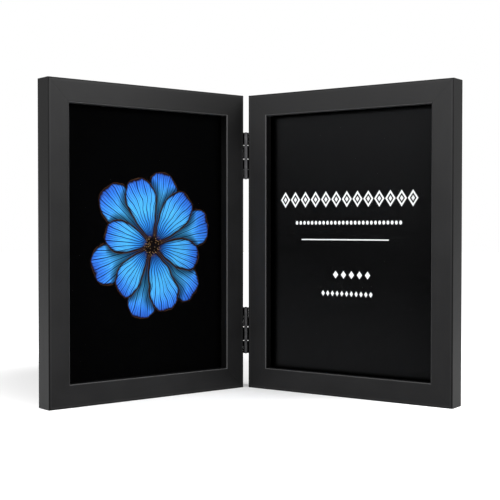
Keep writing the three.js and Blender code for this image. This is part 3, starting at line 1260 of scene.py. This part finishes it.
@dataclass(frozen=True)
class CornerNails:
    """The V-shaped nails that hold the mitres of one leaf, driven in from the back."""

    axes: LeafAxes
    steel: Material
    leg: float = 5.0
    thickness: float = 0.6
    depth: float = 8.0
    inset: float = 4.0
    sunk: float = 0.08
    easing: float = 0.08
    slot_room: float = 0.06
    slot_proud: float = 1.0

    def corners(self) -> Iterator[tuple[str, Matrix]]:
        """The corners of the right leaf.

        Yields:
            The corner's part of a node name, and the nail's matrix.
        """
        upright = Matrix.Rotation(QUARTER_TURN, 4, "X")
        for level, start, inward in (("top", LEAF.height, -1), ("bottom", 0.0, 1)):
            for edge in Edge:
                corner = Vector((LEAF.inside(edge, self.inset), LEAF.back - self.sunk,
                                 start + inward * self.inset))
                turn = math.atan2(inward, edge.value) - QUARTER_TURN / 2
                yield (f"{level}_{edge.label}", Matrix.Translation(corner) @ upright
                       @ Matrix.Rotation(turn, 4, "Z"))

    def angle(self, room: float, proud: float) -> BMesh:
        """The nail, drawn with its legs along x and y and driven along z.

        Args:
            room: How much larger it is all round.
            proud: How far it stands out at the driven end.

        Returns:
            The solid.
        """
        half, tip = self.thickness / 2 + room, self.leg + room
        mesh = flat([(-half, -half), (tip, -half), (tip, half), (half, half), (half, tip),
                     (-half, tip)])
        solid = raise_flat(mesh, self.depth + room + proud)
        bmesh.ops.translate(solid, vec=(0, 0, -proud), verts=solid.verts)
        return solid

    def slots(self) -> list[BMesh]:
        """What the nails cut out of the rails of the right leaf."""
        return [moved(self.angle(self.slot_room, self.slot_proud), place)
                for _, place in self.corners()]

    def build(self) -> None:
        """Puts the four nails in."""
        for corner, place in self.corners():
            nail = moved(soften(self.angle(0.0, 0.0), self.easing), place)
            Piece(f"{self.axes.side.label}_corner_nail_{corner}", nail, self.axes, self.steel,
                  "bright_steel").put()


@dataclass(frozen=True)
class Screw:
    """A pointed screw, drawn along z with its head up, and the tapered cross in its head.

    The head is an outline of radius and height from the shank on, with the top at its end.
    """

    shank: float
    head: tuple[Point, ...]
    cross_span: float
    cross_width: float
    cross_depth: float
    length: float = 9.0
    point: float = 2.5
    sides: int = 36
    blade_taper: float = 0.3
    above_head: float = 0.3
    hole_room: float = 0.05

    def solid(self) -> BMesh:
        """Turns the screw and cuts its cross.

        Returns:
            The solid.
        """
        body = turned([(0, -self.length), (self.shank, self.point - self.length), *self.head],
                      self.sides)
        span, width, top = self.cross_span, self.cross_width, self.head[-1][1]
        tip = self.blade_taper * span
        upright = Matrix.Rotation(QUARTER_TURN, 4, "X")
        blades = []
        for turn in (0.0, QUARTER_TURN):
            blade = flat([(-span, self.above_head), (-span, 0.0),
                          (-tip, -self.cross_depth), (tip, -self.cross_depth),
                          (span, 0.0), (span, self.above_head)])
            centred = Matrix.Translation((0, width / 2, top)) @ upright
            blades.append(moved(raise_flat(blade, width),
                                Matrix.Rotation(turn, 4, "Z") @ centred))
        return carved(body, blades)

    def hole(self, low: float, high: float, place: Matrix) -> BMesh:
        """What the shank cuts out between two heights of the screw, in its place."""
        radius = self.shank + self.hole_room
        return moved(turned([(0, low), (radius, low), (radius, high), (0, high)], HOLE_SIDES),
                     place)


@dataclass(frozen=True)
class TurnButtons:
    """The four stamped buttons that hold the board of one leaf, each with its screw."""

    axes: LeafAxes
    steel: Material
    width: float = 8.0
    reach: float = 14.0
    thickness: float = 1.0
    seat: float = 13.94
    pivot_inset: float = 6.0
    spacing: float = 70.0
    hole: float = 1.35
    past: float = 1.0
    dimple: tuple[Point, ...] = ((0, -0.25), (1.1, -0.1), (1.5, 0.3), (0, 0.3))
    end_segments: int = 10
    sides: int = 36
    easing: float = 0.2
    play: float = 0.02
    screw: Screw = Screw(1.1, (
        (1.1, 0), (2.4, 0), (2.5, 0.12), (2.5, 0.49), (2.325, 0.868), (1.8, 1.204),
        (1.0, 1.358), (0, 1.4)), 1.45, 0.5, 0.9)

    def pivots(self) -> Iterator[tuple[Edge, Level, Vector]]:
        """The pivots on the right leaf.

        Yields:
            The pivot's stile, its level and its place on the back of the stile.
        """
        for edge in Edge:
            for level in Level:
                yield edge, level, Vector((LEAF.inside(edge, self.pivot_inset), self.seat,
                                           LEAF.centre_z + level.value * self.spacing / 2))

    def tab(self) -> BMesh:
        """Stamps the button, drawn flat about its pivot and reaching along +x.

        Returns:
            The solid.
        """
        half, top = self.width / 2, self.thickness
        mesh = flat([(-half, -half), (self.reach, -half), (self.reach, half), (-half, half)])
        round_corners(mesh, dict.fromkeys(range(4), half), self.end_segments)
        low, high = -self.past, top + self.past
        drill = turned([(0, low), (self.hole, low), (self.hole, high), (0, high)], self.sides)
        dimple = turned([(radius, top + rise) for radius, rise in self.dimple], self.sides)
        bmesh.ops.translate(dimple, vec=(self.reach - half, 0, 0), verts=dimple.verts)
        stamped = carved(raise_flat(mesh, top), [drill, dimple])
        return soften(stamped, self.easing, sharper=ROUND_WORK_CREASE)

    def shank_holes(self, stile: Edge) -> list[BMesh]:
        """The screw holes in one stile of the right leaf."""
        under_head = Vector((0, self.thickness, 0))
        return [self.screw.hole(-self.screw.length, self.past,
                                aimed((0, 1, 0), pivot + under_head))
                for edge, _, pivot in self.pivots() if edge is stile]

    def build(self) -> None:
        """Puts the buttons and their screws on."""
        side = self.axes.side.label
        lay_down = Matrix.Rotation(-QUARTER_TURN, 4, "X")
        for edge, level, pivot in self.pivots():
            name = f"{edge.label}_{level.label}"
            turn = Matrix.Rotation(math.pi if edge is Edge.OUTER else 0.0, 4, "Z")
            tab = moved(self.tab(), Matrix.Translation(pivot) @ lay_down @ turn)
            Piece(f"{side}_turn_button_{name}", tab, self.axes, self.steel, "bright_steel",
                  f"{side}_button_{name}").put()
            head = pivot + Vector((0, self.thickness + self.play, 0))
            spin = Matrix.Rotation(head.x + head.z, 4, "Z")
            screw = moved(self.screw.solid(), Matrix.Translation(head) @ lay_down @ spin)
            Piece(f"{side}_button_screw_{name}", screw, self.axes, self.steel,
                  "bright_steel").put()


@dataclass(frozen=True)
class ButtHinge:
    """One butt hinge: a rolled plate on each leaf, a pin and two screws in each plate."""

    level: Level
    leaves: tuple[LeafAxes, LeafAxes]
    steel: Material
    length: float = 32.0
    top_inset: float = 25.6
    foot_inset: float = 23.9
    knuckle_shares: tuple[float, ...] = (0.284, 0.294, 0.214, 0.208)
    knuckle_gap: float = 0.8
    slits: Triple = (0.40, 0.50, 0.08)
    barrel: float = 1.85
    bore: float = 1.08
    plate: Point = (0.9, 1.86)
    plate_front: float = 1.9
    plate_back: float = 12.6
    roll_angle: float = math.radians(-294)
    roll_steps: int = 36
    easing: float = 0.09
    pin: float = 1.03
    pin_proud: float = 0.4
    pin_end: tuple[Point, ...] = ((0.0, 0.0), (0.5, 0.04), (0.85, 0.18), (1.0, 0.4))
    screw_spacing: float = 20.0
    sink_room: float = 0.1
    sink_depth: float = 3.0
    past: float = 1.0
    sides: int = 32
    screw: Screw = Screw(0.9, ((0.9, -0.85), (1.75, -0.1), (1.69, -0.03), (0, -0.03)),
                         1.05, 0.36, 0.5, sides=32)

    @property
    def foot(self) -> float:
        """The height of the hinge's lower end."""
        if self.level is Level.UPPER:
            return LEAF.height - self.top_inset - self.length
        return self.foot_inset

    def knuckles(self) -> list[Point]:
        """Shares the length out among the knuckles; the lower hinge is turned over.

        Returns:
            The lower and upper end of each knuckle, from the top down.
        """
        shares = self.knuckle_shares[::self.level.value]
        growths = [(self.knuckle_gap - slit) / 2 for slit in self.slits[::self.level.value]]
        total = self.length - len(growths) * self.knuckle_gap
        spans, top = [], self.foot + self.length
        for share, above, below in zip(shares, [0.0, *growths], [*growths, 0.0]):
            bottom = top - share * total
            spans.append((bottom - below, top + above))
            top = bottom - self.knuckle_gap
        return spans

    def screw_places(self) -> Iterator[tuple[Level, Matrix]]:
        """The screws of the right plate.

        Yields:
            Which screw it is, and the matrix that puts its z = 0 on the plate's face.
        """
        middle_y = (self.plate_front + self.plate_back) / 2
        for level in Level:
            z = self.foot + self.length / 2 + level.value * self.screw_spacing / 2
            yield level, aimed((-1, 0, 0), Vector((self.plate[0], middle_y, z)))

    def rolled_plate(self, own_knuckles: int) -> BMesh:
        """One plate with its knuckles, drawn for the right leaf.

        Args:
            own_knuckles: 0 for the first and third knuckle from the top, 1 for the others.

        Returns:
            The solid.
        """
        mesh = bmesh.new()
        rim = [mesh.verts.new((radius, 0, 0)) for radius in (self.bore, self.barrel)]
        mouth = mesh.edges.new(rim)
        bmesh.ops.spin(
            mesh, geom=[*rim, mouth], cent=(0, 0, 0), axis=(0, 0, 1), dvec=(0, 0, 0),
            angle=self.roll_angle, steps=self.roll_steps, use_merge=False)
        for y in (self.plate_front, self.plate_back):
            made = bmesh.ops.extrude_edge_only(mesh, edges=[mouth])["geom"]
            mouth = next(item for item in made if isinstance(item, BMEdge)
                         and all(vert in made for vert in item.verts))
            for vert in mouth.verts:
                near_pin = vert.co.x < (self.plate[0] + self.barrel) / 2
                vert.co = (self.plate[0] if near_pin else self.plate[1], y, 0)
        solid = raise_flat(mesh, self.length)
        bmesh.ops.translate(solid, vec=(0, 0, self.foot), verts=solid.verts)
        reach, top = self.barrel + self.past, self.foot + self.length
        own = [z for span in self.knuckles()[own_knuckles::2] for z in reversed(span)]
        rims = [top + self.past, *own, self.foot - self.past]
        notches = [slab((-reach, reach), (-reach, self.plate_front), (low, high))
                   for high, low in zip(rims[::2], rims[1::2])
                   if low < top and high > self.foot]
        (shank, neck), (head, _), *_ = self.screw.head
        shank, head = shank + self.sink_room, head + self.sink_room
        sink = [(0, -self.sink_depth), (shank, -self.sink_depth), (shank, neck), (head, 0),
                (head, self.past), (0, self.past)]
        sinks = [moved(turned(sink, self.sides), place) for _, place in self.screw_places()]
        return soften(carved(solid, notches + sinks), self.easing, sharper=ROUND_WORK_CREASE)

    def shank_holes(self) -> list[BMesh]:
        """What the screws cut out of the hinge stile of the right leaf."""
        return [self.screw.hole(-self.screw.length - self.sink_room, 0, place)
                for _, place in self.screw_places()]

    def build(self) -> None:
        """Puts the plates, screws and pin on."""
        name = self.level.label
        for number, axes in enumerate(self.leaves):
            side = axes.side.label
            Piece(f"{name}_hinge_plate_{side}", self.rolled_plate(number), axes, self.steel,
                  "hinge_steel").put()
            for level, place in self.screw_places():
                Piece(f"{name}_hinge_screw_{side}_{level.label}",
                      moved(self.screw.solid(), place), axes, self.steel, "hinge_steel").put()
        low, high = self.foot - self.pin_proud, self.foot + self.length + self.pin_proud
        outline = [(share * self.pin, low + rise) for share, rise in self.pin_end]
        outline += [(share * self.pin, high - rise) for share, rise in reversed(self.pin_end)]
        Piece(f"{name}_hinge_pin", turned(outline, self.sides), self.leaves[0], self.steel,
              "hinge_steel").put()


@dataclass(frozen=True)
class Rail:
    """One rail of the right leaf: where it starts, where inwards is and how long it is."""

    name: str
    run: Run
    length: float
    inwards: Triple
    corner: Triple


@dataclass(frozen=True)
class FrameRails:
    """The four mitred rails of one leaf, with the slots and holes for what they hold."""

    axes: LeafAxes
    paint: SatinPaint
    nails: CornerNails
    buttons: TurnButtons
    hinges: tuple[ButtHinge, ...]
    outer_round: float = 0.46
    sight_round: float = 0.8
    rabbet_round: float = 0.25
    segments: int = 4
    mitre_gap: float = 0.02
    mitre_easing: float = 0.05
    mitre_segments: int = 2
    mitre_crease: float = 0.1
    on_mitre: float = 0.001

    def moulding(self, length: float) -> BMesh:
        """One rail, drawn with x from its outer edge inwards, y from face to back, z along it.

        Args:
            length: The length along its outer edge.

        Returns:
            The solid with mitred ends.
        """
        wide, narrow, lip, depth = (LEAF.rail_width, LEAF.rail_back_width, LEAF.lip_depth,
                                    LEAF.depth)
        rail = flat([(0, 0), (wide, 0), (wide, lip), (narrow, lip), (narrow, depth), (0, depth)])
        round_corners(rail, {0: self.outer_round, 1: self.sight_round, 2: self.rabbet_round,
                             4: self.rabbet_round, 5: self.outer_round}, self.segments)
        raise_flat(rail, length)
        half_gap = self.mitre_gap / 2
        for end, outwards in ((0.0, -1.0), (length, 1.0)):
            cut = bmesh.ops.bisect_plane(
                rail, geom=[*rail.verts, *rail.edges, *rail.faces], dist=MERGE_DISTANCE,
                plane_co=(0, 0, end - outwards * half_gap), plane_no=(1, 0, outwards),
                clear_outer=True)
            rim = [item for item in cut["geom_cut"] if isinstance(item, BMEdge)]
            bmesh.ops.edgeloop_fill(rail, edges=rim)
            closed(rail)
            rim = []
            for edge in rail.edges:
                off = sum(vert.co.x + outwards * (vert.co.z - end) for vert in edge.verts) / 2
                on_cut = abs(abs(off) - half_gap) < self.on_mitre
                if on_cut and edge.calc_face_angle(0) > self.mitre_crease:
                    rim.append(edge)
            bevelled(rail, rim, self.mitre_easing, self.mitre_segments)
        return closed(rail)

    @staticmethod
    def rails() -> tuple[Rail, ...]:
        """Lists the rails of the right leaf.

        Returns:
            The rails.
        """
        low, high, face, top = (LEAF.side_edge, LEAF.side_edge + LEAF.width, LEAF.face,
                                LEAF.height)
        return (
            Rail("rail_top", Run.ACROSS, LEAF.width, (0, 0, -1), (low, face, top)),
            Rail("rail_bottom", Run.ACROSS, LEAF.width, (0, 0, 1), (high, face, 0)),
            Rail("stile_hinge", Run.UPRIGHT, LEAF.height, (1, 0, 0), (low, face, 0)),
            Rail("stile_outer", Run.UPRIGHT, LEAF.height, (-1, 0, 0), (high, face, top)),
        )

    def build(self) -> None:
        """Puts the rails together."""
        finishes = {run: self.paint.material(self.axes, run) for run in Run}
        for rail in self.rails():
            inwards, to_back = Vector(rail.inwards), Vector((0, 1, 0))
            columns = Matrix((inwards, to_back, inwards.cross(to_back))).transposed()
            solid = moved(self.moulding(rail.length),
                          Matrix.Translation(rail.corner) @ columns.to_4x4())
            cutters = self.nails.slots()
            for edge in Edge:
                if rail.name == f"stile_{edge.label}":
                    cutters += self.buttons.shank_holes(edge)
            if rail.name == "stile_hinge":
                cutters += [hole for hinge in self.hinges for hole in hinge.shank_holes()]
            Piece(f"{self.axes.side.label}_{rail.name}", carved(solid, cutters), self.axes,
                  finishes[rail.run], "frame_paint").put()


@dataclass(frozen=True)
class Glazing:
    """What lies in the rabbet of one leaf: the glass, the print and the backing board."""

    axes: LeafAxes
    glass: Material
    print_face: Material
    board: Material
    glass_depth: Point = (6.36, 9.56)
    print_depth: Point = (9.60, 10.00)
    board_depth: Point = (10.04, 13.60)
    glass_arris: float = 0.25
    print_arris: float = 0.04
    board_easing: float = 0.3

    def build(self) -> None:
        """Lays the three panels in."""
        half_width, half_height = LEAF.print_width / 2, LEAF.print_height / 2
        across = (LEAF.centre_x - half_width, LEAF.centre_x + half_width)
        up = (LEAF.centre_z - half_height, LEAF.centre_z + half_height)
        for name, slot, material, depth, easing, segments in (
                ("glass", "glazing", self.glass, self.glass_depth, self.glass_arris, 1),
                ("print", "print", self.print_face, self.print_depth, self.print_arris, 1),
                ("backing_board", "backing", self.board, self.board_depth,
                 self.board_easing, 2)):
            Piece(f"{self.axes.side.label}_{name}",
                  soften(slab(across, depth, up), easing, segments), self.axes, material,
                  slot).put()


# Surroundings


@dataclass(frozen=True)
class SoftLamp:
    """A square area lamp, with its place in metres and the height above zero it aims at."""

    name: str
    place: Triple
    aim_height: float
    size: float
    power: float

    def hang(self) -> None:
        """Hangs the lamp."""
        data = bpy.data.lights.new(self.name, "AREA")
        data.size = self.size
        data.energy = self.power
        hung = placed(self.name, data)
        hung.location = self.place
        aim = Vector((0, 0, self.aim_height)) - Vector(self.place)
        hung.rotation_euler = aim.to_track_quat("-Z", "Y").to_euler()


@dataclass(frozen=True)
class Studio:
    """The white floor and surroundings, the lamps and the camera."""

    camera_place: Triple = (-0.028499, -0.688644, 0.111393)
    camera_pitch: float = 0.0214
    camera_yaw: float = 0.0239
    lens: float = 75.518
    shift: float = 0.04
    sensor: float = 36.0
    floor_size: float = 8.0
    floor_white: Colour = (0.80, 0.80, 0.80)
    floor_matt: float = 0.9
    ambient: float = 0.25
    floor_glow: Point = (0.25, 0.85)
    floor_image: float = 0.70
    shade_middle: Triple = (-0.05, 0.08, 0.0)
    glow_reach: Point = (0.10, 0.22)
    lamps: tuple[SoftLamp, ...] = (
        SoftLamp("top_lamp", (0.0, 0.1, 1.2), 0.10, 0.8, 2.0),
        SoftLamp("left_lamp", (-0.60, -0.47, 0.40), 0.12, 0.22, 3.9),
        SoftLamp("right_lamp", (0.60, -0.31, 0.40), 0.12, 0.22, 3.9),
        SoftLamp("low_left_lamp", (-0.45, -0.60, 0.25), 0.10, 0.25, 1.8),
        SoftLamp("low_right_lamp", (0.45, -0.60, 0.25), 0.10, 0.25, 1.8),
    )

    def build(self) -> None:
        """Sets the studio up."""
        self.set_camera()
        self.set_surroundings()
        self.lay_floor()
        for lamp in self.lamps:
            lamp.hang()
        bpy.context.scene.view_settings.view_transform = "Standard"

    def set_camera(self) -> None:
        """Puts the camera where the photograph was taken from."""
        data = bpy.data.cameras.new("camera")
        data.lens = self.lens
        data.sensor_width = self.sensor
        data.shift_x = self.shift
        camera = placed("camera", data)
        camera.location = self.camera_place
        camera.rotation_euler = (QUARTER_TURN - self.camera_pitch, 0, -self.camera_yaw)
        bpy.context.scene.camera = camera

    def set_surroundings(self) -> None:
        """Makes the world plain white to look at, and a soft light for the rest."""
        mix = Recipe("studio", for_world=True)
        light, white = (mix.node("Background", (1, 1, 1), strength)
                        for strength in (self.ambient, 1.0))
        bpy.context.scene.world = mix.finish(mix.joined("MixShader", mix.seen(), light, white))

    def lay_floor(self) -> None:
        """Lays a white floor that still takes the object's shadow."""
        mesh = bmesh.new()
        bmesh.ops.create_grid(mesh, x_segments=1, y_segments=1, size=self.floor_size / 2)
        floor = mesh_object("floor", mesh)
        mix = Recipe("white_floor")
        matt = mix.shader(Base_Color=self.floor_white, Roughness=self.floor_matt,
                          Specular_IOR_Level=0.0)
        far = mix.value("VectorMath", mix.node("TexCoord").outputs["Object"],
                        self.shade_middle, operation="DISTANCE")
        # the camera glow is weakest around shade_middle, so the lamps' shadow shows only near
        # there, and further out the glow paints the floor white over it
        straight = mix.seen() * far.between(*self.glow_reach).spread(*self.floor_glow)
        mirrored = mix.ray("Glossy") * self.floor_image
        glow = mix.fed_by_name("Emission", Strength=straight.larger(mirrored))
        floor.data.materials.append(mix.finish(mix.joined("AddShader", matt, glow)))


def main() -> None:
    """Builds the surroundings and every sub-assembly."""
    logging.basicConfig(level=logging.INFO, format="%(message)s")
    leaves = tuple(LeafAxes.read(side, frame["joints"]) for side in Side)
    black_steel = BlackSteel().material()
    zinc_steel = ZincSteel().material()
    glass = PictureGlass().material()
    prints = {Side.LEFT: BloomPrint(), Side.RIGHT: CardPrint()}
    # the right leaf's paint has its own painted shading on its outer sides and at the hinge
    # corner
    paints = {Side.LEFT: SatinPaint(), Side.RIGHT: SatinPaint(
        side_high=(0.0015, 0.0015, 0.0016), side_low=(0.0080, 0.0080, 0.0082),
        hinge_corner=(0.0150, 0.0150, 0.0154))}
    Studio().build()
    hinges = tuple(ButtHinge(level, leaves, black_steel) for level in Level)
    for axes in leaves:
        nails = CornerNails(axes, zinc_steel)
        buttons = TurnButtons(axes, zinc_steel)
        FrameRails(axes, paints[axes.side], nails, buttons, hinges).build()
        Glazing(axes, glass, prints[axes.side].material(axes),
                FibreBoard().material(axes)).build()
        nails.build()
        buttons.build()
    for hinge in hinges:
        hinge.build()


if __name__ == "__main__":
    main()
